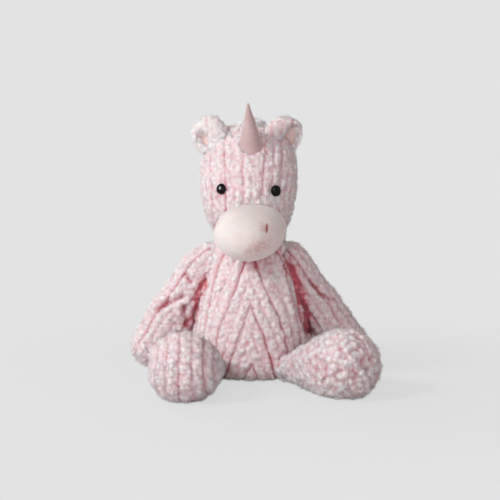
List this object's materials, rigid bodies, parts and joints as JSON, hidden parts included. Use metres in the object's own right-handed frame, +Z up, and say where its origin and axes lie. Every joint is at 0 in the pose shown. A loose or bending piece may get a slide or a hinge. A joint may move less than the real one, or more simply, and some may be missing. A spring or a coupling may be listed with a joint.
{
  "type": "plush unicorn",
  "caption": "Seated plush unicorn with ribbed pink pile, a cream velour muzzle, a soft horn, cupped ears, a white mane and tail, and pellet-weighted seat and feet.",
  "frame": {"origin": "centre of the flat seat, on the floor", "axes": "+Z up, -Y forwards out of the face, +X towards the toy's own left"},
  "size_m": [0.2445, 0.2699, 0.2734],
  "materials": {
    "plush": "ribbed long-pile plush, pale pink",
    "ear_velour": "short velour, dusty pink",
    "eye_plastic": "polished black",
    "washer_plastic": "moulded, natural",
    "nostril_thread": "satin stitch, reddish brown",
    "stuffing": "loose polyester fibre",
    "woven_cloth": "plain weave",
    "pellets": "small round pellets",
    "pink_thread": "hand-sewn thread",
    "muzzle_velour": "short velour, cream",
    "horn_velour": "short smooth velour, pale beige pink",
    "white_pile": "long loose pile, white"
  },
  "bodies": {
    "torso": {"torso_front_left": "plush", "torso_front_right": "plush", "torso_back_left": "plush", "torso_back_right": "plush", "torso_base": "plush", "torso_stuffing": "stuffing", "seat_pouch": "woven_cloth", "seat_pellets": "pellets", "back_closing_stitches": "pink_thread"},
    "neck": {"neck_stuffing": "stuffing"},
    "head": {"head_face": "plush", "head_side_left": "plush", "head_side_right": "plush", "head_back": "plush", "head_stuffing": "stuffing", "muzzle_upper": "muzzle_velour", "muzzle_lower": "muzzle_velour", "muzzle_stuffing": "stuffing", "nostril_left": "nostril_thread", "nostril_right": "nostril_thread", "eye_left": "eye_plastic", "eye_right": "eye_plastic", "eye_washer_left": "washer_plastic", "eye_washer_right": "washer_plastic", "horn_cover": "horn_velour", "horn_stuffing": "stuffing", "mane_pile": "white_pile", "mane_tape": "woven_cloth"},
    "tail": {"tail_pile": "white_pile", "tail_core": "woven_cloth"},
    "ear_left": {"ear_plush_left": "plush", "ear_lining_left": "ear_velour"},
    "arm_left": {"arm_front_left": "plush", "arm_back_left": "plush", "arm_stuffing_left": "stuffing"},
    "leg_left": {"leg_upper_left": "plush", "leg_lower_left": "plush", "leg_stuffing_left": "stuffing", "foot_pouch_left": "woven_cloth", "foot_pellets_left": "pellets"},
    "ear_right": {"ear_plush_right": "plush", "ear_lining_right": "ear_velour"},
    "arm_right": {"arm_front_right": "plush", "arm_back_right": "plush", "arm_stuffing_right": "stuffing"},
    "leg_right": {"leg_upper_right": "plush", "leg_lower_right": "plush", "leg_stuffing_right": "stuffing", "foot_pouch_right": "woven_cloth", "foot_pellets_right": "pellets"}
  },
  "joints": [
    {"name": "neck_turn", "type": "hinge", "parent": "torso", "child": "neck", "pos_m": [0, 0.008, 0.1384], "axis": [0, 0, 1], "range_deg": [-28, 28]},
    {"name": "neck_nod", "type": "hinge", "parent": "neck", "child": "head", "pos_m": [0, 0.008, 0.1384], "axis": [1, 0, 0], "range_deg": [-12, 8]},
    {"name": "ear_fold_left", "type": "hinge", "parent": "head", "child": "ear_left", "pos_m": [0.031, 0.009, 0.241], "axis": [0.6958, 0.4695, -0.5436], "range_deg": [-18, 18], "stiffness_Nm_per_rad": 0.02},
    {"name": "ear_fold_right", "type": "hinge", "parent": "head", "child": "ear_right", "pos_m": [-0.036, 0.009, 0.2395], "axis": [0.6562, -0.4695, 0.5908], "range_deg": [-18, 18], "stiffness_Nm_per_rad": 0.02},
    {"name": "arm_lift_left", "type": "hinge", "parent": "torso", "child": "arm_left", "pos_m": [0.0382, 0.008, 0.1345], "axis": [0, -1, 0], "range_deg": [0, 60]},
    {"name": "arm_lift_right", "type": "hinge", "parent": "torso", "child": "arm_right", "pos_m": [-0.0382, 0.008, 0.1345], "axis": [0, 1, 0], "range_deg": [0, 60]},
    {"name": "leg_swing_left", "type": "hinge", "parent": "torso", "child": "leg_left", "pos_m": [0.03624, -0.04315, 0.015], "axis": [-0.766, -0.6428, 0], "range_deg": [-35, 25]},
    {"name": "leg_swing_right", "type": "hinge", "parent": "torso", "child": "leg_right", "pos_m": [-0.03624, -0.04315, 0.015], "axis": [-0.9511, 0.309, 0], "range_deg": [-35, 25]},
    {"name": "tail_swing", "type": "hinge", "parent": "torso", "child": "tail", "pos_m": [0, 0.05611, 0.03], "axis": [0, 0, 1], "range_deg": [-30, 30]}
  ]
}
